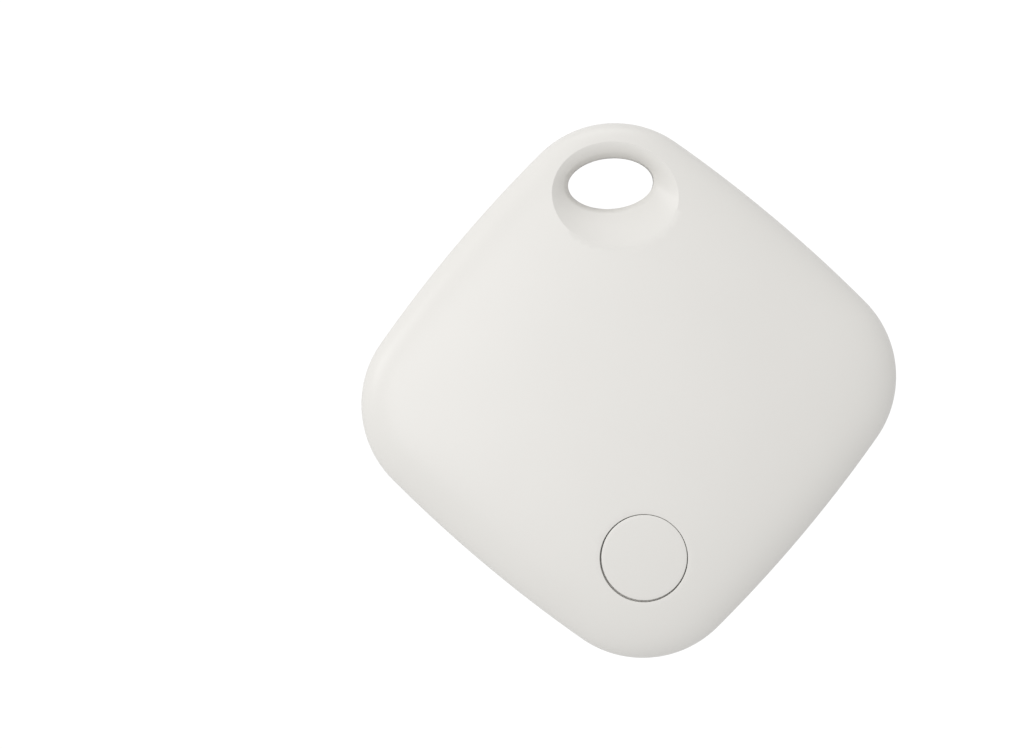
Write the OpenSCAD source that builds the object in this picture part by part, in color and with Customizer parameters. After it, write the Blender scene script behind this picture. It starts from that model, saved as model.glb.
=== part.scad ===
// Bluetooth tracker tag: a pebble-shaped rounded square with a key-ring hole in one corner.
// The tag lies on its back. +Z leaves the front face, +Y runs to the key-ring corner,
// and the origin is the middle of the rest face.

/* [Outline] */
// From the middle to the tip of each corner, mm
half_diagonal = 22.5; // [22.5:0.5:24]
// Radius of the rounded corners, mm
corner_r = 8.9; // [8.6:0.1:9.2]
// How far out of the middle the centres of the bowed sides lie, along X and along Y, mm
side_k = 70.4; // [60:0.4:90]

/* [Thickness] */
// Height of the seam between the two shells, mm
seam_z = 3.4; // [3.2:0.1:3.6]
// Rise of the front edge above the seam, mm
front_edge = 2.8; // [2.7:0.1:3.1]
// Extra rise of the domed front towards the middle, mm
front_dome = 1.2; // [1.1:0.1:1.3]
// Width of the rolled front edge, mm
front_roll = 2.8; // [2.6:0.1:3.2]
// Width of the rolled rear edge, mm
rear_roll = 2.6; // [2.4:0.1:3]
// Wall thickness of the shells, mm
wall = 1.2; // [1.1:0.05:1.25]

/* [Key-ring hole] */
// Distance of the hole's centre from the middle, mm
hole_y = 17.44; // [17.3:0.02:17.6]
// Half width of the oval hole, mm
hole_a = 3.6; // [3.3:0.05:3.65]
// Half height of the oval hole, mm
hole_b = 2.15; // [1.9:0.05:2.2]
// Distance of the front dish's centre from the middle, mm
dish_y = 16.3; // [16.2:0.1:16.5]
// Radius of the front dish at its rim, mm
dish_r = 4.95; // [4.7:0.05:5]
// Depth of the front dish, mm
dish_depth = 1.9; // [1.7:0.1:2]

/* [Button] */
// Distance of the button from the middle, mm
button_y = 14.06; // [14:0.02:14.3]
// Radius of the button cap, mm
button_r = 3.6; // [3.4:0.02:3.6]
// Radial gap round the button cap, mm
button_gap = 0.1; // [0.1:0.02:0.2]
// Travel of the button, mm
button_travel = 0.25; // [0.2:0.05:0.25]

/* [Battery] */
// Radius of the coin cell, mm
cell_r = 10; // [9.9:0.05:10]
// Height of the coin cell, mm
cell_h = 3.2; // [3:0.1:3.2]
// Radius of the battery cover, mm
cover_r = 11.8; // [11.7:0.05:11.8]
// Twist that frees the battery cover, degrees
cover_twist = 35; // [30:1:38]

/* [Circuit board] */
// Thickness of the circuit board, mm
board_t = 0.8; // [0.6:0.1:0.8]
// Side of the radio chip, mm
radio_w = 4; // [3.5:0.1:4.2]

/* [Hidden] */
$fn = 96;
slack = 0.02;

corner_c = half_diagonal - corner_r;
span = norm([corner_c + side_k, side_k]);
corner_a = atan2(side_k, corner_c + side_k);
side_r = span + corner_r;
side_spare = 0.6;
edge_power = 2.4;
roll_steps = 8;
dome_steps = 4;
front_top = front_edge + front_dome;
face_z = seam_z + front_top;
front_in = seam_z + front_top - wall;

tip_y = 14.4;
boss_y = 16.4;
boss_low_r = 4.9;
boss_top_r = 6.2;
dish_lift = (pow(dish_r, 2) - pow(dish_depth, 2)) / (2 * dish_depth);
dish_ball = dish_lift + dish_depth;
dish_z = face_z - 0.2;
flare_low = seam_z + 1.2;
flare_w = 0.8;
flare_h = 2.1;
flare_turn = 80;
flare_steps = 5;
rear_ball = 5;
rear_drop = 2.7;

rib_gap = 0.15;
rib_w = 0.65;
rib_h = 0.4;

lip_gap = 0.1;
lip_w = 0.7;
lip_root = 0.6;
lip_h = 0.6;
lip_back = 0.3;
groove_edge = 0.4;
groove_w = 0.4;
groove_depth = 0.4;
port_r = 0.5;
port_step = 2.2;
port_y = -17.2;

bore_r = button_r + button_gap;
flange_w = 0.74;
flange_r = button_r + flange_w;
flange_z = front_in - 0.5;
flange_h = 0.45;
button_guide_r = flange_r + 0.25;
guide_wall = 0.8;
guide_h = 0.9;
stem_r = 1.1;

cover_gap = 0.2;
cover_low = 0.05;
cover_t = 1.2;
opening_r = cover_r + cover_gap;
collar_h = 2.2;
collar_w = 1.8;
collar_r = opening_r + collar_w;
rim_r = cell_r + 0.45;
rim_h = 2.1;
lug_reach = 0.75;
lug_r = opening_r + lug_reach;
lug_low = 0.62;
lug_h = 0.46;
lug_half = 10;
lug_first = 30;
track_r = lug_r + 0.2;
track_low = 0.54;
track_h = 0.62;
notch_spare = 1.5;
stop_spare = 1;
notch_h = track_low + 1.2;
seal_section = 0.28;
seal_slack = 0.03;
seal_r = opening_r - 0.04 - seal_section;
seal_z = 1.65;
slot_w = 1.8;
slot_depth = 0.5;
slot_r = 9;
mark_r = 0.5;
mark_depth = 0.2;
mark_edge = 1.3;

cell_low = cover_t + 0.1;
cell_skin = 0.25;
cell_top = cell_low + cell_h;
crimp_z = cell_top - 0.2;
cap_r = cell_r - 1.28;
crimp_r = cell_r - 0.95;
cap_bevel = 0.3;
cap_foot = 0.7;

board_top = 3.8;
board_low = board_top - board_t;
board_inset = 2.4;
board_hole_r = cell_r + 0.6;
board_cut_y = 9.6;
pad_t = 0.04;
part_z = board_top + pad_t;

screw_x = 15.6;
screw_side_x = 7.9;
screw_side_y = -12.9;
screw_r = 0.6;
screw_head_r = 1.1;
screw_head_h = 0.6;
screw_drive_r = 0.35;
screw_low = board_low - 1.6;
post_r = 1.5;

switch_w = 3.4;
switch_h = 0.85;
leg_t = 0.15;
leg_w = 0.6;
switch_well_r = 1.2;
switch_well_z = board_top + 0.3;
plate_t = 0.15;
plunger_r = 0.7;
plunger_foot_r = 1.05;
plunger_foot_h = 0.16;
disc_t = 0.06;
plunger_foot_z = switch_well_z + disc_t + slack + button_travel;
plunger_h = 1.15;
stem_low = plunger_foot_z + plunger_h;
sleeve_in_r = 2.75;
sleeve_out_r = 3.35;

strip_t = 0.15;
strip_w = 2.4;
strip_foot = 1.6;
arm_z = cell_top + 0.1;
arm_x = 1.05;
arm_l = 10.6;
dimple_x = 1.8;
dimple_r = 0.9;
positive_a = -25;
negative_a = 205;
contact_x = 12.4;
side_x = cell_r + slack;
side_reach = 1.7;
bridge_l = contact_x - side_x;
contact_pad_l = 2;
contact_pad_w = 3;
lead_pad_l = 1.2;
lead_pad_w = 0.8;
test_pad_r = 0.5;
test_pad_x = 10.5;
test_pad_y = -11.2;
test_pad_dx = 0.7;
test_pad_dy = 1.6;

plate_r = 6.2;
ceramic_r = 4.7;
buzzer_skin = 0.18;
glue_t = 0.25;
glue_in_r = 5.1;
plate_z = front_in - glue_t - buzzer_skin;
ceramic_z = plate_z - buzzer_skin;
lead_r = 0.22;
lead_z = ceramic_z - lead_r;
lead_a = 3;

radio_x = -13.7;
radio_y = 3.9;
radio_h = 0.85;
radio_dot_r = 0.25;
radio_dot_in = 0.6;
radio_dot_depth = 0.05;
sensor_x = 13.6;
sensor_y = 4.6;
sensor_w = 2;
sensor_h = 0.9;
crystal_x = -12.6;
crystal_y = -3.1;
crystal_l = 2;
crystal_w = 1.6;
crystal_h = 0.35;
crystal_rim = 0.15;
antenna_x = 18.1;
antenna_l = 5.2;
antenna_w = 1.6;
antenna_h = 1;
inductor_x = -16.2;
inductor_y = -3.6;
inductor_l = 2;
inductor_w = 1.6;
inductor_h = 0.9;

small_l = 1;
small_w = 0.5;
capacitor_h = 0.5;
resistor_h = 0.35;
small_pitch = 0.9;
capacitor_x = -17.9;
capacitor_y = 2.7;
button_capacitor_x = 5.6;
button_capacitor_y = -16.2;
resistor_x = 15.6;
resistor_y = -2.6;
button_resistor_x = 4.6;
button_resistor_y = -11.9;
lead_live_in = 1.3;
lead_ground_out = 0.7;

shell_white = [0.90, 0.89, 0.87];
soft_grey = [0.72, 0.72, 0.71];
seal_grey = [0.30, 0.31, 0.32];
steel = [0.75, 0.76, 0.78];
board_green = [0.07, 0.30, 0.18];
brass = [0.80, 0.66, 0.36];
gold = [0.86, 0.70, 0.34];
chip_black = [0.08, 0.08, 0.09];

// Height of the rolled and domed skin at a distance u in from the outline
function skin(u, roll, edge, dome, r) =
    edge * pow(1 - pow(max(0, 1 - u / roll), edge_power), 1 / edge_power)
    + dome * (1 - pow(1 - u / r, 2));

// Distances in from the outline at which the skin is shaped
function skin_steps(roll, r) = concat(
    [for (i = [0 : roll_steps]) roll * (1 - cos(90 * i / roll_steps))],
    [for (i = [1 : dome_steps]) roll + (r - roll) * i / dome_steps]
);

// Half section of a pillow, from its outline in to its flat middle
module section(r, roll, edge, dome, inward) {
    polygon(concat(
        [[-inward, edge + dome], [-inward, 0]],
        [for (u = skin_steps(roll, r)) [r - u, skin(u, roll, edge, dome, r)]]
    ));
}

// The corner's share of the plan, as a wedge that opens from the corner's centre
module corner_wedge() {
    reach = 2 * corner_r;
    polygon([
        [corner_c, 0],
        [corner_c + reach * cos(corner_a), -reach * sin(corner_a)],
        [corner_c + reach * cos(corner_a), reach * sin(corner_a)]
    ]);
}

// Rounded square with bowed sides, set in from the tag's outline
module outline(inset) {
    difference() {
        intersection_for(a = [0 : 90 : 270]) {
            rotate(a)
                translate([-side_k, -side_k])
                    circle(r = side_r - inset, $fn = 720);
        }
        for (a = [0 : 90 : 270]) {
            rotate(a)
                corner_wedge();
        }
    }
    for (a = [0 : 90 : 270]) {
        rotate(a)
            intersection() {
                translate([corner_c, 0])
                    circle(r = corner_r - inset);
                corner_wedge();
            }
    }
}

// Solid pillow on z = 0 with a rolled edge and a gently domed top
module pillow(inset, edge, dome, roll) {
    r = corner_r - inset;
    height = edge + dome;
    difference() {
        union() {
            for (a = [0 : 90 : 270]) {
                rotate(a)
                    translate([-side_k, -side_k])
                        rotate_extrude(angle = 90 - 2 * corner_a + 2 * side_spare,
                                       start = corner_a - side_spare)
                            translate([span, 0])
                                section(r, roll, edge, dome, 1);
            }
            linear_extrude(height)
                rotate(45)
                    square(corner_c * sqrt(2), center = true);
        }
        for (a = [0 : 90 : 270]) {
            rotate(a)
                translate([0, 0, -1])
                    linear_extrude(height + 2)
                        corner_wedge();
        }
    }
    for (a = [0 : 90 : 270]) {
        rotate(a)
            intersection() {
                translate([corner_c, 0])
                    rotate_extrude()
                        section(r, roll, edge, dome, 0);
                translate([0, 0, -1])
                    linear_extrude(height + 2)
                        corner_wedge();
            }
    }
}

// Block over the key-ring corner, from y outwards
module solid_tip(y) {
    translate([-half_diagonal, y, -1])
        cube([2 * half_diagonal, half_diagonal, face_z + 2]);
}

// Oval key-ring hole, through both shells
module ring_hole() {
    translate([0, hole_y, -1])
        linear_extrude(face_z + 2)
            scale([1, hole_b / hole_a])
                circle(r = hole_a);
}

// Trumpet-shaped cut that rounds the front dish into the oval hole
module hole_flare() {
    translate([0, hole_y, 0])
        scale([1, hole_b / hole_a, 1])
            rotate_extrude()
                polygon(concat(
                    [[0, face_z + 1], [0, flare_low]],
                    [for (i = [0 : flare_steps])
                        let (turn = flare_turn * i / flare_steps)
                        [hole_a + flare_w * (1 - cos(turn)), flare_low + flare_h * sin(turn)]],
                    [[hole_a + flare_w * (1 - cos(flare_turn)), face_z + 1]]
                ));
}

module tube(r_out, r_in, h) {
    difference() {
        cylinder(r = r_out, h = h);
        translate([0, 0, -1])
            cylinder(r = r_in, h = h + 2);
    }
}

module block(x, y, z, w, d, h) {
    translate([x - w / 2, y - d / 2, z])
        cube([w, d, h]);
}

// Places its children on the button's axis, at height z
module at_button(z = 0) {
    translate([0, -button_y, z])
        children();
}

module front_form() {
    translate([0, 0, seam_z])
        pillow(0, front_edge, front_dome, front_roll);
}

module front_shell() {
    color(shell_white)
    difference() {
        front_form();
        difference() {
            translate([0, 0, seam_z - slack])
                pillow(wall, front_edge - wall + slack, front_dome, front_roll - wall / 2);
            solid_tip(tip_y);
            translate([0, boss_y, seam_z - 1])
                cylinder(r1 = boss_low_r, r2 = boss_top_r, h = front_top);
            at_button(front_in - guide_h)
                cylinder(r = button_guide_r + guide_wall, h = 2);
            translate([0, 0, front_in - rib_h])
                tube(plate_r + rib_gap + rib_w, plate_r + rib_gap, 2);
        }
        at_button(front_in - 1)
            cylinder(r = bore_r, h = wall + 2);
        at_button(front_in - guide_h)
            cylinder(r = button_guide_r, h = guide_h);
        translate([0, dish_y, dish_z + dish_lift])
            sphere(r = dish_ball);
        hole_flare();
        ring_hole();
    }
}

module screw_places() {
    for (s = [-1, 1]) {
        translate([s * screw_x, 0, 0])
            children();
        translate([s * screw_side_x, screw_side_y, 0])
            children();
    }
}

// Arc-shaped block about the tag's middle
module arc_block(from, sweep, r_in, r_out, low, h) {
    rotate_extrude(angle = sweep, start = from)
        translate([r_in, low])
            square([r_out - r_in, h]);
}

// Lip that stands up inside the seam and centres the front shell on the rear one
module seam_lip() {
    difference() {
        union() {
            linear_extrude(lip_root)
                outline(wall - lip_gap);
            linear_extrude(lip_root + lip_h)
                outline(wall + lip_gap);
        }
        translate([0, 0, -1])
            linear_extrude(lip_root + lip_h + 2)
                outline(wall + lip_gap + lip_w);
        solid_tip(tip_y - lip_back);
    }
}

module rear_shell() {
    color(shell_white)
    difference() {
        union() {
            difference() {
                translate([0, 0, seam_z])
                    mirror([0, 0, 1])
                        pillow(0, seam_z, 0, rear_roll);
                difference() {
                    translate([0, 0, seam_z + slack])
                        mirror([0, 0, 1])
                            pillow(wall, seam_z - wall + slack, 0, rear_roll - wall / 2);
                    solid_tip(tip_y);
                    translate([0, boss_y, -1])
                        cylinder(r = boss_low_r, h = seam_z + 2);
                    translate([0, 0, -1])
                        cylinder(r = collar_r, h = collar_h + 1);
                    screw_places()
                        cylinder(r = post_r, h = board_low);
                }
            }
            translate([0, 0, seam_z - lip_root])
                seam_lip();
        }
        translate([0, 0, -1])
            cylinder(r = opening_r, h = collar_h + 2);
        for (a = [lug_first : 120 : lug_first + 240]) {
            track_from = a - cover_twist - lug_half - notch_spare;
            arc_block(track_from, cover_twist + 2 * lug_half + notch_spare + stop_spare,
                      opening_r - 1, track_r, track_low, track_h);
            arc_block(track_from, 2 * (lug_half + notch_spare),
                      opening_r - 1, track_r, -1, notch_h);
        }
        translate([0, 0, seam_z - groove_depth])
            linear_extrude(1)
                difference() {
                    outline(groove_edge);
                    outline(groove_edge + groove_w);
                }
        screw_places()
            translate([0, 0, wall / 2])
                cylinder(r = screw_r, h = seam_z);
        for (i = [-1 : 1]) {
            translate([i * port_step, port_y, -1])
                cylinder(r = port_r, h = wall + 2);
        }
        for (a = [-90, -90 - cover_twist]) {
            rotate(a)
                translate([collar_r + 1, 0, -1])
                    cylinder(r = mark_r, h = 1 + mark_depth);
        }
        translate([0, hole_y, -rear_drop])
            sphere(r = rear_ball);
        ring_hole();
    }
}

module perimeter_seal() {
    color(seal_grey)
    translate([0, 0, seam_z - groove_depth + slack])
        linear_extrude(groove_depth - 2 * slack)
            difference() {
                outline(groove_edge + slack);
                outline(groove_edge + groove_w - slack);
            }
}

module button_cap() {
    color(shell_white) {
        intersection() {
            front_form();
            at_button(flange_z)
                cylinder(r = button_r, h = 4);
        }
        at_button(flange_z)
            cylinder(r = flange_r, h = flange_h);
        at_button(stem_low)
            cylinder(r = stem_r, h = flange_z - stem_low + 0.1);
    }
}

module button_sleeve() {
    color(soft_grey)
    at_button(board_top)
        tube(sleeve_out_r, sleeve_in_r, flange_z - board_top - slack);
}

module battery_cover() {
    color(shell_white)
    difference() {
        union() {
            translate([0, 0, cover_low])
                cylinder(r = cover_r, h = cover_t - cover_low);
            translate([0, 0, cover_t - 0.1])
                tube(cover_r, rim_r, rim_h - cover_t + 0.1);
            for (a = [lug_first : 120 : lug_first + 240]) {
                arc_block(a - lug_half, 2 * lug_half, cover_r - 0.5, lug_r, lug_low, lug_h);
            }
        }
        translate([0, 0, seal_z - seal_section - seal_slack])
            tube(cover_r + 1, seal_r - seal_section - seal_slack, 2 * (seal_section + seal_slack));
        block(0, 0, -1, 2 * slot_r, slot_w, 1 + slot_depth);
        rotate(-90)
            translate([cover_r - mark_edge, 0, -1])
                cylinder(r = mark_r, h = 1 + cover_low + mark_depth);
    }
}

module cover_seal() {
    color(seal_grey)
    rotate_extrude()
        translate([seal_r, seal_z])
            circle(r = seal_section);
}

// Steel can, folded in over the gasket at its top
module cell_can() {
    color(steel)
    rotate_extrude()
        polygon([
            [0, cell_low],
            [cell_r - cell_skin, cell_low],
            [cell_r, cell_low + cell_skin],
            [cell_r, crimp_z - 0.2],
            [cell_r - cell_skin, crimp_z],
            [crimp_r, crimp_z],
            [crimp_r, crimp_z - cell_skin],
            [cell_r - cell_skin, crimp_z - cell_skin],
            [cell_r - cell_skin, cell_low + cell_skin],
            [0, cell_low + cell_skin]
        ]);
}

module cell_cap() {
    color(steel)
    rotate_extrude()
        polygon([
            [0, cell_top],
            [cap_r - cap_bevel, cell_top],
            [cap_r, cell_top - cap_bevel],
            [cap_r, cell_low + cap_foot],
            [cap_r - cell_skin, cell_low + cap_foot],
            [cap_r - cell_skin, crimp_z - cell_skin],
            [cap_r - 2 * cell_skin, cell_top - cell_skin],
            [0, cell_top - cell_skin]
        ]);
}

module cell_gasket() {
    gap = 0.05;
    inner = cap_r + gap;
    outer = cell_r - cell_skin - gap;
    ring = crimp_r - 0.03;
    color(chip_black)
    rotate_extrude()
        polygon([
            [inner, cell_low + cell_skin + gap],
            [outer, cell_low + cell_skin + gap],
            [outer, crimp_z - cell_skin - gap],
            [ring, crimp_z - cell_skin - gap],
            [ring, crimp_z],
            [inner, crimp_z - 0.1]
        ]);
}

module cell_core() {
    color(soft_grey)
    translate([0, 0, cell_low + cell_skin + 0.05])
        cylinder(r = cap_r - cell_skin - 0.1, h = cell_h - 2 * cell_skin - 0.3);
}

module circuit_board() {
    color(board_green)
    difference() {
        translate([0, 0, board_low])
            linear_extrude(board_t)
                difference() {
                    outline(board_inset);
                    circle(r = board_hole_r);
                    translate([-half_diagonal, board_cut_y])
                        square([2 * half_diagonal, half_diagonal]);
                }
        screw_places()
            cylinder(r = screw_r + 0.1, h = board_top + 1);
    }
}

module board_screws() {
    color(steel)
    screw_places()
        difference() {
            union() {
                translate([0, 0, screw_low])
                    cylinder(r = screw_r - slack, h = board_top + 0.1 - screw_low);
                translate([0, 0, board_top])
                    cylinder(r = screw_head_r, h = screw_head_h);
            }
            translate([0, 0, board_top + screw_head_h / 2])
                cylinder(r = screw_drive_r, h = 1, $fn = 6);
        }
}

// Soldering pads under the contacts and the buzzer leads, and a row of test pads
module contact_pads() {
    color(gold) {
        for (a = [positive_a, negative_a]) {
            rotate(a)
                block(contact_x, 0, board_top, contact_pad_l, contact_pad_w, pad_t);
        }
        for (s = [-1, 1]) {
            rotate(s * lead_a)
                block(contact_x, 0, board_top, lead_pad_l, lead_pad_w, pad_t);
        }
        for (i = [0 : 2]) {
            translate([test_pad_x + test_pad_dx * i, test_pad_y + test_pad_dy * i, board_top])
                cylinder(r = test_pad_r, h = pad_t);
        }
    }
}

// Spring that presses on the side of the cell's can
module positive_contact() {
    color(steel)
    rotate(positive_a) {
        block(contact_x, 0, part_z, strip_foot, strip_w, strip_t);
        block(side_x + bridge_l / 2, 0, part_z, bridge_l, strip_w, strip_t);
        block(side_x + strip_t / 2, 0, part_z - side_reach, strip_t, strip_w, side_reach + strip_t);
    }
}

// Arm that reaches over the cell and presses on its cap
module negative_contact() {
    color(steel)
    rotate(negative_a) {
        block(contact_x, 0, part_z, strip_foot, strip_w, strip_t);
        block(arm_x + arm_l - strip_t / 2, 0, part_z, strip_t, strip_w, arm_z - part_z + strip_t);
        block(arm_x + arm_l / 2, 0, arm_z, arm_l, strip_w, strip_t);
        translate([dimple_x, 0, cell_top + 0.01])
            cylinder(r = dimple_r, h = 0.1);
    }
}

module switch_body() {
    color(chip_black)
    at_button()
        difference() {
            block(0, 0, board_top, switch_w, switch_w, switch_h);
            translate([0, 0, switch_well_z])
                cylinder(r = switch_well_r, h = 2);
        }
}

module switch_plate() {
    color(steel)
    at_button() {
        difference() {
            block(0, 0, board_top + switch_h, switch_w, switch_w, plate_t);
            cylinder(r = plunger_r + 0.1, h = face_z);
        }
        for (x = [-1, 1]) {
            for (y = [-1, 1]) {
                block(x * (switch_w + leg_t) / 2, y, board_top, leg_t, leg_w, switch_h + plate_t);
            }
        }
    }
}

module switch_disc() {
    color(brass)
    at_button(switch_well_z)
        cylinder(r = switch_well_r - 0.05, h = disc_t);
}

module switch_plunger() {
    color(soft_grey)
    at_button(plunger_foot_z) {
        cylinder(r = plunger_foot_r, h = plunger_foot_h);
        cylinder(r = plunger_r, h = plunger_h - slack);
    }
}

module buzzer_plate() {
    color(brass)
    translate([0, 0, plate_z])
        cylinder(r = plate_r, h = buzzer_skin);
}

module buzzer_ceramic() {
    color(soft_grey)
    translate([0, 0, ceramic_z])
        cylinder(r = ceramic_r, h = buzzer_skin);
}

module buzzer_adhesive() {
    color(seal_grey)
    translate([0, 0, plate_z + buzzer_skin])
        tube(plate_r, glue_in_r, glue_t);
}

// Insulated wire from the buzzer out over the cell and down to its pad
module lead(start_x) {
    translate([start_x, 0, lead_z])
        rotate([0, 90, 0])
            cylinder(r = lead_r, h = contact_x - start_x);
    translate([contact_x, 0, lead_z])
        sphere(r = lead_r);
    translate([contact_x, 0, part_z])
        cylinder(r = lead_r, h = lead_z - part_z);
    translate([start_x, 0, lead_z])
        sphere(r = lead_r);
}

module buzzer_lead_live() {
    color([0.75, 0.10, 0.08])
    rotate(lead_a)
        lead(ceramic_r - lead_live_in);
}

module buzzer_lead_ground() {
    color([0.10, 0.10, 0.11])
    rotate(-lead_a)
        lead(ceramic_r + lead_ground_out);
}

module radio_chip() {
    color(chip_black)
    difference() {
        block(radio_x, radio_y, part_z, radio_w, radio_w, radio_h);
        translate([radio_x - radio_w / 2 + radio_dot_in, radio_y + radio_w / 2 - radio_dot_in,
                   part_z + radio_h - radio_dot_depth])
            cylinder(r = radio_dot_r, h = 1);
    }
}

module motion_sensor() {
    color(chip_black)
    block(sensor_x, sensor_y, part_z, sensor_w, sensor_w, sensor_h);
}

module crystal() {
    color(steel) {
        block(crystal_x, crystal_y, part_z, crystal_l, crystal_w, crystal_h);
        block(crystal_x, crystal_y, part_z + crystal_h,
              crystal_l - 2 * crystal_rim, crystal_w - 2 * crystal_rim, crystal_rim);
    }
}

module chip_antenna() {
    color([0.86, 0.86, 0.82])
    block(antenna_x, 0, part_z, antenna_w, antenna_l, antenna_h);
}

module inductor() {
    color([0.32, 0.30, 0.29])
    block(inductor_x, inductor_y, part_z, inductor_w, inductor_l, inductor_h);
}

module capacitors() {
    color([0.62, 0.50, 0.36]) {
        for (i = [0 : 3]) {
            block(capacitor_x, capacitor_y - small_pitch * i, part_z, small_l, small_w, capacitor_h);
        }
        for (s = [-1, 1]) {
            block(s * button_capacitor_x, button_capacitor_y, part_z, small_w, small_l, capacitor_h);
        }
    }
}

module resistors() {
    color([0.14, 0.14, 0.15]) {
        for (i = [0 : 2]) {
            block(resistor_x, resistor_y - small_pitch * i, part_z, small_l, small_w, resistor_h);
        }
        for (s = [-1, 1]) {
            block(s * button_resistor_x, button_resistor_y, part_z, small_l, small_w, resistor_h);
        }
    }
}

front_shell();
rear_shell();
perimeter_seal();
button_cap();
button_sleeve();
battery_cover();
cover_seal();
cell_can();
cell_cap();
cell_gasket();
cell_core();
circuit_board();
board_screws();
contact_pads();
positive_contact();
negative_contact();
switch_body();
switch_plate();
switch_disc();
switch_plunger();
buzzer_plate();
buzzer_ceramic();
buzzer_adhesive();
buzzer_lead_live();
buzzer_lead_ground();
radio_chip();
motion_sensor();
crystal();
chip_antenna();
inductor();
capacitors();
resistors();
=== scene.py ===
"""Bluetooth tracker tag: smooth shells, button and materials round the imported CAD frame."""

import math

import bmesh
import bpy
import numpy as np
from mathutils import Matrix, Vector
from mathutils.geometry import delaunay_2d_cdt


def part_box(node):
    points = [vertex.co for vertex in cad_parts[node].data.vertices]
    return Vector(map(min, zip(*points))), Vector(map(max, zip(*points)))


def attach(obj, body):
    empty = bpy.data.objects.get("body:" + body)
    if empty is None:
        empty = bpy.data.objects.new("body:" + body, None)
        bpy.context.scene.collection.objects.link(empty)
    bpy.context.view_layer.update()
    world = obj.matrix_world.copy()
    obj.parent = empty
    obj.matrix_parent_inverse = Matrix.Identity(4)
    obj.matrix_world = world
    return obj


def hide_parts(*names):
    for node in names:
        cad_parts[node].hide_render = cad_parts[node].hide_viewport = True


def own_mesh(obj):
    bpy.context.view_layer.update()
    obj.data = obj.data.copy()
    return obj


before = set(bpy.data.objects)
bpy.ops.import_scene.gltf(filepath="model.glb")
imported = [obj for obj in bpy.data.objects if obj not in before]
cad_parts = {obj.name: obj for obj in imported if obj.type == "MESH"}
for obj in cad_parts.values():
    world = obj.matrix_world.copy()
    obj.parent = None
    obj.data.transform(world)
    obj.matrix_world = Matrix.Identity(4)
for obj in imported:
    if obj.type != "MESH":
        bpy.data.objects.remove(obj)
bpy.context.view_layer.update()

MM = 0.001
SLACK = 0.02
SOFT = 0.06
BEVEL = 0.05

# The outline: round corners on the axes, joined by long bowed sides.
CORNER_R = 8.9
SIDE_K = 70.4
SHELL_LOW, SHELL_HIGH = (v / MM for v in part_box("front_shell"))
HALF = SHELL_HIGH.x
CORNER_C = HALF - CORNER_R
SIDE_R = CORNER_R + math.hypot(CORNER_C + SIDE_K, SIDE_K)
CORNER_A = math.atan2(SIDE_K, CORNER_C + SIDE_K)
FLAT = SIDE_R - SIDE_K * math.sqrt(2)

# Both shells.
SEAM = SHELL_LOW.z
TOP = SHELL_HIGH.z - SLACK
CEILING = 6.2
WALL = 1.2
EDGE, ROLL, ROLL_POWER = 2.8, 6.5, 4.0
DOME, DOME_POWER = TOP - SEAM - EDGE, 1.7
BAND = 2.8
ROOM_RISE, ROOM_ROLL, ROOM_DOME = 1.92, 2.2, 0.9
REAR_ROLL = 2.6
TIP_Y, BOSS_Y, BOSS_R = 14.4, 16.4, 4.9

# Key-ring hole and its dish. The dish is a leaning ellipse. Its wall starts as a cone of
# slope share DISH_CONE, softest towards DISH_SOFT_AT, and steepens towards the hole, where a
# lip turns down, most at LIP_AT.
HOLE = (0.0, 17.44)
HOLE_A, HOLE_B = 3.6, 2.15
DISH = (0.25, 16.38)
DISH_A, DISH_B, DISH_LEAN = 5.31, 4.47, math.radians(-11.3)
DISH_DEEP, DISH_CONE = 1.6, 0.9
DISH_SOFT, DISH_SOFT_AT = 0.6, math.radians(80)
DISH_TILT = -0.2
LIP_DEEP, LIP_WIDE, LIP_CURVE = 0.36, 0.42, 1.5
LIP_AT, LIP_EVEN = math.radians(195), 0.55
DISH_CROWD = 0.8

# Button.
CAP_LOW, CAP_HIGH = (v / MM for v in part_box("button_cap"))
BUTTON = ((CAP_LOW.x + CAP_HIGH.x) / 2, (CAP_LOW.y + CAP_HIGH.y) / 2)
CAP_PLAY = (0.035, 0.055)
CAP_R, BORE_R, STEM_R = 3.58, 3.68, 1.1
FLANGE_R = (CAP_HIGH.x - CAP_LOW.x) / 2
FLANGE_LOW, FLANGE_TOP = 5.7, 6.15
CAP_MIDDLE = 0.25
SLEEVE_IN, SLEEVE_WAIST, SLEEVE_BULGE = 2.75, 0.12, 0.10
GUIDE_R, GUIDE_LOW, GUIDE_WALL = FLANGE_R + 0.25, CEILING - 0.9, 0.8

# Inside the front shell: the dish's boss and the ring that carries the buzzer.
BOSS_TOP_R = 6.2
CRADLE_IN, CRADLE_OUT, CRADLE_LOW = 6.35, 7.0, CEILING - 0.4

# Battery opening and what the rear shell carries.
OPENING_R, COLLAR_R, COLLAR_TOP = 12.0, 13.8, 2.2
LUGS, LUG_HALF, LUG_PLAY, TWIST = (30, 150, 270), 10, 1.5, 35
TRACK_R, TRACK_LOW, TRACK_TOP, NOTCH_TOP = 12.95, 0.54, 1.16, 1.74
SCREW_BOSS_R, SCREW_HOLE_R = 1.5, 0.6
SCREWS = ((15.6, 0), (-15.6, 0), (7.9, -12.9), (-7.9, -12.9))
BOARD_LOW = 3.0
PORT_R = 0.5
PORTS = ((-2.2, -17.2), (0, -17.2), (2.2, -17.2))
DOT_R, DOT_DEEP, DOT_AT = 0.5, 0.2, COLLAR_R + 1
SCOOP_R, SCOOP_Z = 5, -2.7

# Seam: the rear shell's tongue stands inside the front's wall, and the seal lies in a groove.
TONGUE_FIT, TONGUE_IN, TONGUE_TALL = 0.1, WALL + 0.8, 0.6
GROOVE_NEAR, GROOVE_FAR, GROOVE_DEEP = 0.4, 0.8, 0.4

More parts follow.
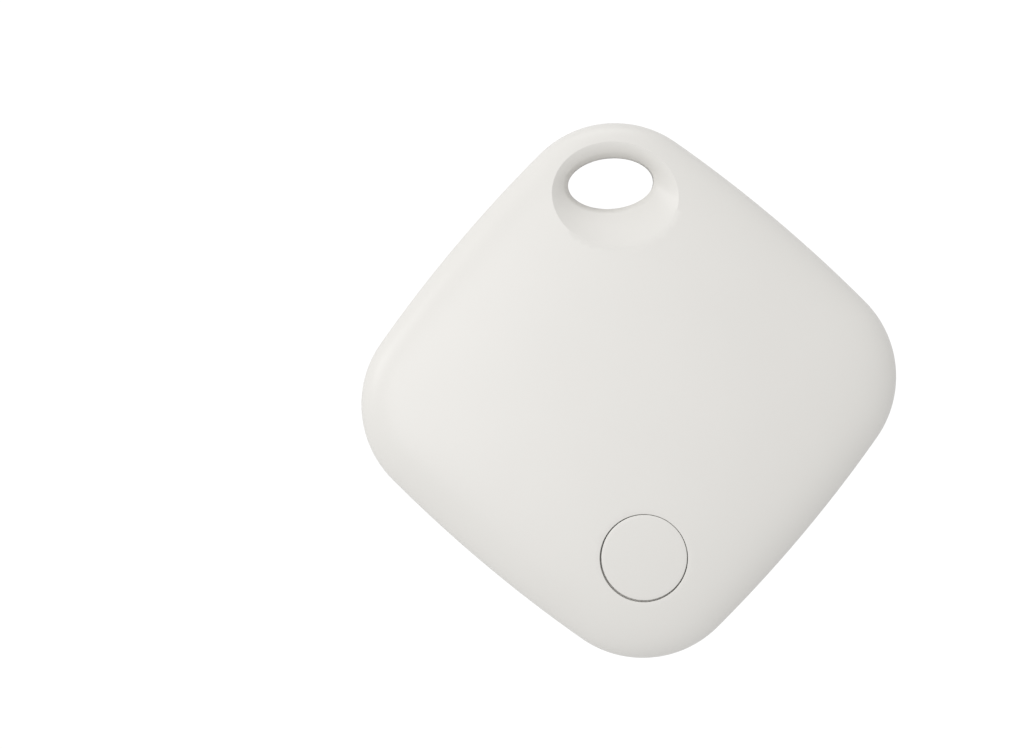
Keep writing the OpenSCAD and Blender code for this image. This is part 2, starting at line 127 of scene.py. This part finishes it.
# Mesh spacing over the front face.
LOOP_STEP, LOOP_START, LOOP_SPARE = 0.17, 0.14, 0.4
GRID_STEP, GRID_CLEAR, BORE_CLEAR, DISH_CLEAR = 0.42, 0.2, 0.3, 0.16


# ---------------------------------------------------------------- shape

def inset(x, y):
    """How far points lie in from the outline."""
    ax, ay = np.abs(x), np.abs(y)
    lean = SIDE_K / (CORNER_C + SIDE_K)
    side = SIDE_R - np.hypot(ax + SIDE_K, ay + SIDE_K)
    on_x = CORNER_R - np.hypot(ax - CORNER_C, ay)
    on_y = CORNER_R - np.hypot(ax, ay - CORNER_C)
    found = np.where(ay < (ax - CORNER_C) * lean, on_x, side)
    return np.where(ax < (ay - CORNER_C) * lean, on_y, found)


def roll(u, width, height, power=2.4):
    """Height gained by an edge that rolls over within width of the outline."""
    left = np.clip(1 - u / width, 0, 1)
    return height * (1 - left ** power) ** (1 / power)


def crown(x, y):
    """A dome over the whole outline: one in the middle and nothing at the edge."""
    p, q = (x + y) / math.sqrt(2) / FLAT, (x - y) / math.sqrt(2) / FLAT
    round_dome = np.clip((1 - p ** 4 - q ** 4) / (1 + p ** 2 + q ** 2), 0, 1)
    return 1 - (1 - round_dome) ** DOME_POWER


def face(x, y):
    """Height of the front face."""
    u = np.clip(inset(x, y), 0, None)
    return SEAM + roll(u, ROLL, EDGE, ROLL_POWER) + DOME * crown(x, y)


def outline(d, corner_n=44, side_n=64):
    """The outline set in by d, as an array of points going round anticlockwise."""
    points = []
    for quarter in range(4):
        turn = quarter * math.pi / 2
        arcs = (
            (CORNER_C, 0, CORNER_R - d, -CORNER_A, CORNER_A, corner_n),
            (-SIDE_K, -SIDE_K, SIDE_R - d, CORNER_A, math.pi / 2 - CORNER_A, side_n),
        )
        for cx, cy, r, start, end, n in arcs:
            for i in range(n):
                a = start + (end - start) * i / n
                x, y = cx + r * math.cos(a), cy + r * math.sin(a)
                points.append((x * math.cos(turn) - y * math.sin(turn),
                               x * math.sin(turn) + y * math.cos(turn)))
    return np.array(points)


def ellipse(centre, a, b, n):
    t = np.linspace(0, 2 * math.pi, n, endpoint=False)
    return np.column_stack([centre[0] + a * np.cos(t), centre[1] + b * np.sin(t)])


def circle(r, n=96):
    return ellipse((0, 0), r, r, n)


def in_ellipse(p, centre, a, b):
    return ((p[:, 0] - centre[0]) / a) ** 2 + ((p[:, 1] - centre[1]) / b) ** 2 < 1


class Skin:
    """Collects rings and sheets of points, in millimetres, into one closed mesh."""

    def __init__(self):
        self.verts, self.faces = [], []

    def add(self, points):
        start = len(self.verts)
        self.verts.extend(tuple(p) for p in points)
        return start

    def rings(self, rings):
        """Quads between rings of the same count, each an array of x, y, z."""
        starts = [self.add(r) for r in rings]
        n = len(rings[0])
        for a, b in zip(starts, starts[1:]):
            self.faces += [(a + i, a + (i + 1) % n, b + (i + 1) % n, b + i) for i in range(n)]

    def cap(self, ring):
        start = self.add(ring)
        self.faces.append(tuple(range(start, start + len(ring))))

    def sheet(self, loops, inner, height, keep):
        """A triangulated sheet through boundary loops and inner points, at height(x, y)."""
        coords = [Vector(p) for loop in loops for p in loop] + [Vector(p) for p in inner]
        edges, start = [], 0
        for loop in loops:
            n = len(loop)
            edges += [(start + i, start + (i + 1) % n) for i in range(n)]
            start += n
        out, _, tris, *_ = delaunay_2d_cdt(coords, edges, [], 0, 1e-7)
        flat = np.array([tuple(v) for v in out])
        tris = np.array([t for t in tris if len(t) == 3])
        tris = tris[keep(flat[tris].mean(1))]
        start = self.add(np.column_stack([flat, height(flat[:, 0], flat[:, 1])]))
        self.faces += [tuple(int(start + i) for i in t) for t in tris]

    def solid(self, name):
        mesh = bpy.data.meshes.new(name)
        mesh.from_pydata([tuple(c * MM for c in v) for v in self.verts], [], self.faces)
        obj = bpy.data.objects.new(name, mesh)
        bpy.context.scene.collection.objects.link(obj)
        weld(obj)
        return obj


def weld(obj):
    bm = bmesh.new()
    bm.from_mesh(obj.data)
    bmesh.ops.remove_doubles(bm, verts=bm.verts, dist=1e-7)
    loose = [v for v in bm.verts if not v.link_faces]
    bmesh.ops.delete(bm, geom=loose, context="VERTS")
    bmesh.ops.recalc_face_normals(bm, faces=bm.faces)
    bm.to_mesh(obj.data)
    bm.free()


def shade(obj, angle=32):
    """Smooth shading that breaks at edges sharper than the angle."""
    mesh = obj.data
    mesh.shade_smooth()
    mesh.set_sharp_from_angle(angle=math.radians(angle))


def boolean(obj, tool, operation="DIFFERENCE"):
    """Cuts or joins obj with tool, which is used up."""
    step = obj.modifiers.new("boolean", "BOOLEAN")
    step.operation, step.solver, step.object = operation, "EXACT", tool
    shape = obj.evaluated_get(bpy.context.evaluated_depsgraph_get())
    mesh = bpy.data.meshes.new_from_object(shape)
    obj.modifiers.clear()
    obj.data = mesh
    bpy.data.objects.remove(tool)
    return obj


def install(obj, mat, body, slot, *nodes):
    """Gives a finished piece its look and its place in the frame."""
    obj.data.materials.clear()
    obj.data.materials.append(mat)
    shade(obj)
    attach(obj, body)
    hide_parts(*nodes)
    return obj


def lift(loop, z):
    """Gives a plan loop a height: a number, or one height per point."""
    return np.column_stack([loop, np.broadcast_to(z, len(loop))])


def stack(*rings):
    """A closed solid through rings, capped at both ends."""
    skin = Skin()
    skin.rings(rings)
    skin.cap(rings[0])
    skin.cap(rings[-1])
    return skin.solid("tool")


def prism(loop, low, high):
    return stack(lift(loop, low), lift(loop, high))


def hollow(outer, inner, low, high):
    """A closed band between two plan loops of the same count."""
    skin = Skin()
    skin.rings([lift(outer, low), lift(outer, high), lift(inner, high), lift(inner, low),
                lift(outer, low)])
    return skin.solid("tool")


def disc(at, r, low, high, n=96):
    return prism(ellipse(at, r, r, n), low, high)


def arc_block(start, sweep, r_in, r_out, low, high):
    """A block along an arc about the tag's middle, by angles in degrees."""
    t = np.radians(np.linspace(start, start + sweep, 24))
    arc = np.column_stack([np.cos(t), np.sin(t)])
    return prism(np.vstack([arc * r_out, arc[::-1] * r_in]), low, high)


def ball(at, r, n=96):
    angles = np.linspace(-math.pi / 2, math.pi / 2, n // 2)[1:-1]
    return stack(*[lift(ellipse(at[:2], r * math.cos(a), r * math.cos(a), n),
                        at[2] + r * math.sin(a)) for a in angles])


def grid(step, reach):
    line = np.arange(-reach, reach + step, step)
    x, y = np.meshgrid(line, line)
    x = x + (np.arange(len(line)) % 2)[:, None] * step / 2
    return np.column_stack([x.ravel(), y.ravel()])


# ---------------------------------------------------------------- pieces

def dish_rings(n=192, steps=26):
    """The dish: a bowl that turns down at the hole's edge, its rim softest to one side."""
    t = np.linspace(0, 2 * math.pi, n, endpoint=False) - DISH_LEAN
    x, y = DISH_A * np.cos(t), DISH_B * np.sin(t)
    c, s = math.cos(DISH_LEAN), math.sin(DISH_LEAN)
    rim = np.column_stack([DISH[0] + x * c - y * s, DISH[1] + x * s + y * c])
    throat = ellipse(HOLE, HOLE_A, HOLE_B, n)
    rim_z = face(*rim.T)
    width = np.hypot(*(rim - throat).T)
    low = rim_z.mean() - DISH_DEEP + DISH_TILT * np.sin(t)
    lip = LIP_DEEP * (LIP_EVEN + (1 - LIP_EVEN) * np.cos(t + DISH_LEAN - LIP_AT))
    cone = DISH_CONE - DISH_SOFT * np.clip(np.cos(t + DISH_LEAN - DISH_SOFT_AT), 0, 1)
    rings = []
    for s in np.linspace(0, 1, steps) ** DISH_CROWD:
        bowl = (rim_z - low) * (cone * s + (1 - cone) * s * s)
        near = np.clip(1 - width * (1 - s) / LIP_WIDE, 0, 1)
        rings.append(lift(rim + (throat - rim) * s, rim_z - bowl - lip * near ** LIP_CURVE))
    return rings + [lift(throat, SEAM)]


def bore_rings(n=160):
    """The button's bore, with a fine round at its mouth."""
    rings = []
    for a in np.linspace(0, math.pi / 2, 5):
        r = BORE_R + SOFT * (1 - math.sin(a))
        loop = ellipse(BUTTON, r, r, n)
        rings.append(lift(loop, face(*loop.T) - SOFT * (1 - math.cos(a))))
    return rings + [lift(rings[-1][:, :2], SEAM)]


def front_skin():
    """The front shell as a full body: its face, dish and bore over a flat seam."""
    skin = Skin()
    dish, bore = dish_rings(), bore_rings()
    rim, mouth = dish[0][:, :2], bore[0][:, :2]
    breaks = [lift(outline(SOFT), SEAM), lift(outline(SOFT / 3), SEAM + SOFT / 3)]
    deep = BAND * (1 - np.cos(np.radians(np.arange(0, 40, 2.4))))
    edge = [lift(outline(d), np.maximum(face(*outline(d).T), SEAM + SOFT)) for d in deep]
    start = deep[-1]
    skin.rings(breaks + edge)
    loops = np.arange(start + LOOP_START, BAND + LOOP_SPARE, LOOP_STEP)
    inner = np.vstack([*[outline(d) for d in loops], grid(GRID_STEP, HALF)])
    loose = np.arange(len(inner)) >= sum(len(outline(d)) for d in loops)
    inner = inner[~loose | (inset(*inner.T) > loops[-1] + GRID_CLEAR)]
    clear = BORE_R + BORE_CLEAR
    inner = inner[~near_dish(inner, DISH_CLEAR) & ~in_ellipse(inner, BUTTON, clear, clear)]

    def on_face(p):
        return ((inset(*p.T) > start) & ~near_dish(p, 0)
                & ~in_ellipse(p, BUTTON, BORE_R + SOFT, BORE_R + SOFT))

    skin.sheet([outline(start), rim, mouth], inner, face, on_face)
    skin.rings(dish)
    skin.rings(bore)

    def on_seam(p):
        return ((inset(*p.T) > SOFT) & ~in_ellipse(p, HOLE, HOLE_A, HOLE_B)
                & ~in_ellipse(p, BUTTON, BORE_R, BORE_R))

    skin.sheet([outline(SOFT), dish[-1][:, :2], bore[-1][:, :2]], [], lambda x, y: x * 0 + SEAM,
               on_seam)
    return skin.solid("front_housing")


def near_dish(p, spare):
    c, s = math.cos(-DISH_LEAN), math.sin(-DISH_LEAN)
    x, y = p[:, 0] - DISH[0], p[:, 1] - DISH[1]
    return ((x * c - y * s) / (DISH_A + spare)) ** 2 + ((x * s + y * c) / (DISH_B + spare)) ** 2 < 1


def hollow_space(width, height, dome, start, up):
    """The room inside a shell, from its seam inwards."""
    deep = np.concatenate([width * (1 - np.cos(np.radians(np.arange(0, 91, 7.5)))),
                           np.linspace(width, CORNER_R - WALL - 0.1, 6)[1:]])
    reach = CORNER_R - WALL
    return stack(*[lift(outline(WALL + d), start + up * (roll(d, width, height)
                        + dome * (1 - (1 - d / reach) ** 2))) for d in deep])


def tip_block(y):
    return prism(np.array([(-HALF, y), (HALF, y), (HALF, HALF + 1), (-HALF, HALF + 1)]), -1, 9)


def front_shell(mat):
    room = hollow_space(ROOM_ROLL, ROOM_RISE, ROOM_DOME, SEAM - SLACK, 1)
    boss = ellipse((0, BOSS_Y), 1, 1, 96) - [0, BOSS_Y]
    for kept in (
        tip_block(TIP_Y),
        stack(lift(boss * BOSS_R + [0, BOSS_Y], SEAM - 1),
              lift(boss * BOSS_TOP_R + [0, BOSS_Y], TOP)),
        disc(BUTTON, GUIDE_R + GUIDE_WALL, GUIDE_LOW, TOP),
        hollow(circle(CRADLE_OUT), circle(CRADLE_IN), CRADLE_LOW, TOP),
    ):
        boolean(room, kept)
    shell = boolean(front_skin(), room)
    boolean(shell, disc(BUTTON, GUIDE_R, GUIDE_LOW, CEILING))
    install(shell, mat, "housing", "shell_plastic", "front_shell")


def rear_skin():
    deep = REAR_ROLL * (1 - np.cos(np.radians(np.arange(90, -1, -5))))
    rings = [lift(outline(d), np.minimum(SEAM - roll(d, REAR_ROLL, SEAM), SEAM - SOFT))
             for d in deep]
    return stack(*rings, lift(outline(SOFT / 3), SEAM - SOFT / 3), lift(outline(SOFT), SEAM))


def rear_shell(mat):
    room = hollow_space(REAR_ROLL - WALL / 2, SEAM - WALL + SLACK, 0, SEAM + SLACK, -1)
    boolean(room, tip_block(TIP_Y))
    boolean(room, disc((0, BOSS_Y), BOSS_R, -1, SEAM + 1))
    boolean(room, disc((0, 0), COLLAR_R, -1, COLLAR_TOP, 144))
    for at in SCREWS:
        boolean(room, disc(at, SCREW_BOSS_R, 0, BOARD_LOW, 48))
    shell = boolean(rear_skin(), room)
    low, inner = SEAM - TONGUE_TALL, outline(TONGUE_IN)
    tongue = hollow(outline(WALL - TONGUE_FIT), inner, low, SEAM)
    upper = hollow(outline(WALL + TONGUE_FIT), inner, low, SEAM + TONGUE_TALL)
    boolean(tongue, upper, "UNION")
    boolean(tongue, tip_block(TIP_Y - 0.3))
    boolean(shell, tongue, "UNION")
    boolean(shell, disc((0, 0), OPENING_R, -1, COLLAR_TOP + 1, 144))
    for a in LUGS:
        start = a - TWIST - LUG_HALF - LUG_PLAY
        track = TWIST + 2 * LUG_HALF + LUG_PLAY + 1
        notch = 2 * (LUG_HALF + LUG_PLAY)
        boolean(shell, arc_block(start, track, OPENING_R - 1, TRACK_R, TRACK_LOW, TRACK_TOP))
        boolean(shell, arc_block(start, notch, OPENING_R - 1, TRACK_R, -1, NOTCH_TOP))
    groove = hollow(outline(GROOVE_NEAR), outline(GROOVE_FAR), SEAM - GROOVE_DEEP, SEAM + 0.3)
    boolean(shell, groove)
    for at in SCREWS:
        boolean(shell, disc(at, SCREW_HOLE_R, WALL / 2, SEAM, 32))
    for at in PORTS:
        boolean(shell, disc(at, PORT_R, -1, WALL + 1, 48))
    for a in (-90, -90 - TWIST):
        turn = math.radians(a)
        at = (DOT_AT * math.cos(turn), DOT_AT * math.sin(turn))
        boolean(shell, disc(at, DOT_R, -1, DOT_DEEP, 48))
    boolean(shell, ball((0, HOLE[1], SCOOP_Z), SCOOP_R))
    boolean(shell, prism(ellipse(HOLE, HOLE_A, HOLE_B, 192), -1, SEAM + 1))
    install(shell, mat, "housing", "shell_plastic", "rear_shell")
    shell.name = "rear_housing"


def button_cap(mat):
    at = np.add(BUTTON, CAP_PLAY)
    rings = []
    for r in np.linspace(CAP_MIDDLE, CAP_R - SOFT, 14):
        loop = ellipse(at, r, r, 160)
        rings.append(lift(loop, face(*loop.T)))
    for a in np.linspace(0, math.pi / 2, 5)[1:]:
        r = CAP_R - SOFT * (1 - math.sin(a))
        loop = ellipse(at, r, r, 160)
        rings.append(lift(loop, face(*loop.T) - SOFT * (1 - math.cos(a))))
    flange, foot = FLANGE_R - BEVEL, CAP_LOW.z
    steps = ((CAP_R, FLANGE_TOP), (flange - BEVEL, FLANGE_TOP), (flange, FLANGE_TOP - BEVEL),
             (flange, FLANGE_LOW), (STEM_R, FLANGE_LOW), (STEM_R, foot + 2 * BEVEL),
             (STEM_R - 2 * BEVEL, foot), (CAP_MIDDLE, foot))
    rings += [lift(ellipse(at, r, r, 160), z) for r, z in steps]
    cap = stack(*rings)
    cap.name = "button_face"
    install(cap, mat, "button", "button_plastic", "button_cap")


def button_sleeve(mat):
    """The silicone ring under the button: it bulges a little at mid height."""
    low, high = (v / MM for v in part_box("button_sleeve"))
    z = np.linspace(low.z, high.z, 15)
    t = np.linspace(-1, 1, 15)
    outer = [(high.x - SLEEVE_WAIST * q ** 4, h) for q, h in zip(t, z)]
    inner = [(SLEEVE_IN + SLEEVE_BULGE * q * q, h) for q, h in zip(t[::-1], z[::-1])]
    skin = Skin()
    loop = outer + inner
    skin.rings([lift(ellipse(BUTTON, r, r, 96), h) for r, h in loop + loop[:1]])
    sleeve = skin.solid("sleeve_ring")
    install(sleeve, mat, "housing", "sleeve_rubber", "button_sleeve")
    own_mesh(sleeve)


# ---------------------------------------------------------------- materials

def material(name, colour, roughness, metallic=0.0, coarse=900.0, fine=9000.0,
             vary=0.04, rough_vary=0.08, bump=0.1, depth=0.00001, specular=0.5, coat=0.0):
    """A surface with slow drifts in colour and gloss, and a fine grain."""
    mat = bpy.data.materials.new(name)
    mat.use_nodes = True
    nodes, links = mat.node_tree.nodes, mat.node_tree.links
    shader = nodes["Principled BSDF"]
    shader.inputs["Metallic"].default_value = metallic
    shader.inputs["Specular IOR Level"].default_value = specular
    shader.inputs["Coat Weight"].default_value = coat
    place = nodes.new("ShaderNodeTexCoord")
    slow = nodes.new("ShaderNodeTexNoise")
    slow.inputs["Scale"].default_value = coarse
    slow.inputs["Detail"].default_value = 3
    quick = nodes.new("ShaderNodeTexNoise")
    quick.inputs["Scale"].default_value = fine
    quick.inputs["Detail"].default_value = 2
    links.new(place.outputs["Object"], slow.inputs["Vector"])
    links.new(place.outputs["Object"], quick.inputs["Vector"])
    tint = nodes.new("ShaderNodeValToRGB")
    tint.color_ramp.elements[0].position = 0.3
    tint.color_ramp.elements[1].position = 0.7
    tint.color_ramp.elements[0].color = (*[c * (1 - vary) for c in colour], 1)
    tint.color_ramp.elements[1].color = (*[min(1, c * (1 + vary)) for c in colour], 1)
    links.new(slow.outputs["Fac"], tint.inputs["Fac"])
    links.new(tint.outputs["Color"], shader.inputs["Base Color"])
    gloss = nodes.new("ShaderNodeMapRange")
    gloss.inputs["To Min"].default_value = roughness - rough_vary
    gloss.inputs["To Max"].default_value = roughness + rough_vary
    links.new(quick.outputs["Fac"], gloss.inputs["Value"])
    links.new(gloss.outputs["Result"], shader.inputs["Roughness"])
    grain = nodes.new("ShaderNodeBump")
    grain.inputs["Strength"].default_value = bump
    grain.inputs["Distance"].default_value = depth
    links.new(quick.outputs["Fac"], grain.inputs["Height"])
    links.new(grain.outputs["Normal"], shader.inputs["Normal"])
    return mat


def dress(node, mat, angle=32):
    """Gives a carried-over CAD node its material."""
    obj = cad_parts[node]
    obj.data.materials.clear()
    obj.data.materials.append(mat)
    for poly in obj.data.polygons:
        poly.material_index = 0
    shade(obj, angle)


def dress_inside():
    steel = material("bright_steel", (0.62, 0.63, 0.65), 0.28, 1.0, fine=6000, vary=0.06)
    nickel = material("spring_nickel", (0.66, 0.65, 0.63), 0.32, 1.0, fine=7000, vary=0.07)
    brass = material("rolled_brass", (0.72, 0.50, 0.20), 0.34, 1.0, coarse=500, vary=0.10)
    gold = material("gold_flash", (0.83, 0.60, 0.24), 0.30, 1.0, vary=0.08)
    black = material("moulding_black", (0.018, 0.018, 0.020), 0.55, vary=0.20)
    rubber = material("seal_rubber", (0.07, 0.073, 0.078), 0.75, vary=0.15, bump=0.2)
    looks = {
        "perimeter_seal": rubber, "cover_seal": rubber,
        "cell_can": steel, "cell_cap": steel,
        "cell_gasket": material("gasket_nylon", (0.015, 0.016, 0.018), 0.5, vary=0.2),
        "cell_core": material("cell_powder", (0.10, 0.10, 0.105), 0.8, vary=0.3, bump=0.4),
        "circuit_board": material("solder_resist", (0.010, 0.085, 0.040), 0.30, coarse=1600,
                                  vary=0.18, coat=0.4),
        "board_screws": steel, "contact_pads": gold,
        "positive_contact": nickel, "negative_contact": nickel, "switch_plate": nickel,
        "switch_body": black, "switch_disc": gold,
        "switch_plunger": material("plunger_nylon", (0.45, 0.42, 0.37), 0.45, vary=0.05),
        "buzzer_plate": brass,
        "buzzer_ceramic": material("silvered_ceramic", (0.62, 0.60, 0.54), 0.45, 0.3, vary=0.08),
        "buzzer_adhesive": rubber,
        "buzzer_lead_live": material("red_insulation", (0.50, 0.012, 0.010), 0.35, vary=0.08),
        "buzzer_lead_ground": material("black_insulation", (0.016, 0.016, 0.018), 0.35, vary=0.2),
        "radio_chip": black, "motion_sensor": black,
        "crystal": material("crystal_lid", (0.70, 0.68, 0.62), 0.25, 1.0, vary=0.05),
        "chip_antenna": material("glazed_ceramic", (0.70, 0.70, 0.64), 0.30, vary=0.05),
        "inductor": material("ferrite", (0.075, 0.068, 0.062), 0.65, vary=0.2, bump=0.3),
        "capacitors": material("capacitor_ceramic", (0.33, 0.21, 0.11), 0.45, vary=0.15),
        "resistors": material("resistor_film", (0.02, 0.02, 0.024), 0.40, vary=0.25),
    }
    for node, mat in looks.items():
        dress(node, mat)


# ---------------------------------------------------------------- studio

def area_light(name, place, aim, size, power):
    data = bpy.data.lights.new(name, "AREA")
    data.shape = "DISK"
    data.size = size
    data.energy = power
    light = bpy.data.objects.new(name, data)
    light.visible_camera = False
    bpy.context.scene.collection.objects.link(light)
    light.location = place
    light.rotation_mode = "QUATERNION"
    light.rotation_quaternion = (Vector(aim) - Vector(place)).to_track_quat("-Z", "Y")


def white_to_camera(nodes, links, shader, kind, output):
    """Keeps what a surface does for light, but lets it read as plain white."""
    white = nodes.new(kind)
    white.inputs["Color"].default_value = (1, 1, 1, 1)
    white.inputs["Strength"].default_value = 1.05
    path = nodes.new("ShaderNodeLightPath")
    mix = nodes.new("ShaderNodeMixShader")
    links.new(path.outputs["Is Camera Ray"], mix.inputs["Fac"])
    links.new(shader.outputs[0], mix.inputs[1])
    links.new(white.outputs[0], mix.inputs[2])
    links.new(mix.outputs["Shader"], output.inputs["Surface"])


def studio():
    world = bpy.data.worlds.new("studio")
    world.use_nodes = True
    nodes, links = world.node_tree.nodes, world.node_tree.links
    back = nodes["Background"]
    back.inputs["Color"].default_value = (1, 1, 1, 1)
    back.inputs["Strength"].default_value = 0.686
    white_to_camera(nodes, links, back, "ShaderNodeBackground", nodes["World Output"])
    bpy.context.scene.world = world
    area_light("near_panel", (-0.043, 0.012, 0.126), (0, 0, 0), 0.09, 0.0455)
    area_light("left_panel", (-0.240, 0.128, 0.130), (0, 0, 0), 0.13, 0.110)
    area_light("top_panel", (0.0, 0.299, 0.034), (0, 0, 0), 0.20, 0.150)


def floor():
    mesh = bpy.data.meshes.new("floor")
    s, z = 1.5, -0.00002
    mesh.from_pydata([(-s, -s, z), (s, -s, z), (s, s, z), (-s, s, z)], [], [(0, 1, 2, 3)])
    obj = bpy.data.objects.new("floor", mesh)
    bpy.context.scene.collection.objects.link(obj)
    mat = bpy.data.materials.new("floor_white")
    mat.use_nodes = True
    nodes, links = mat.node_tree.nodes, mat.node_tree.links
    shader = nodes["Principled BSDF"]
    shader.inputs["Base Color"].default_value = (0.9, 0.9, 0.9, 1)
    shader.inputs["Roughness"].default_value = 0.9
    white_to_camera(nodes, links, shader, "ShaderNodeEmission", nodes["Material Output"])
    mesh.materials.append(mat)


def camera():
    """Looks straight down on the front, a little turned, with the tag right of the middle."""
    lean = math.radians(4.95)
    width = 0.08543
    away = 0.6
    aside, along = -0.01009, 0.00134
    right = Vector((math.cos(lean), -math.sin(lean), 0))
    up = Vector((math.sin(lean), math.cos(lean), 0))
    data = bpy.data.cameras.new("camera")
    data.sensor_width = 36
    data.lens = 36 * away / width
    data.clip_start, data.clip_end = 0.01, 10
    cam = bpy.data.objects.new("camera", data)
    bpy.context.scene.collection.objects.link(cam)
    cam.location = right * aside + up * along + Vector((0, 0, away + SEAM * MM))
    cam.rotation_euler = (0, 0, -lean)
    bpy.context.scene.camera = cam


bpy.context.scene.view_settings.view_transform = "Standard"
camera()
studio()
floor()
plastic = {"colour": (0.768, 0.753, 0.722), "roughness": 0.35, "coarse": 120, "vary": 0.006,
           "rough_vary": 0.04, "bump": 0.05}
shell = material("shell_plastic", **plastic)
button = material("button_plastic", **plastic)
front_shell(shell)
rear_shell(shell)
button_cap(button)
button_sleeve(material("sleeve_silicone", (0.46, 0.46, 0.44), 0.60, vary=0.06))
dress("battery_cover", shell)
dress_inside()
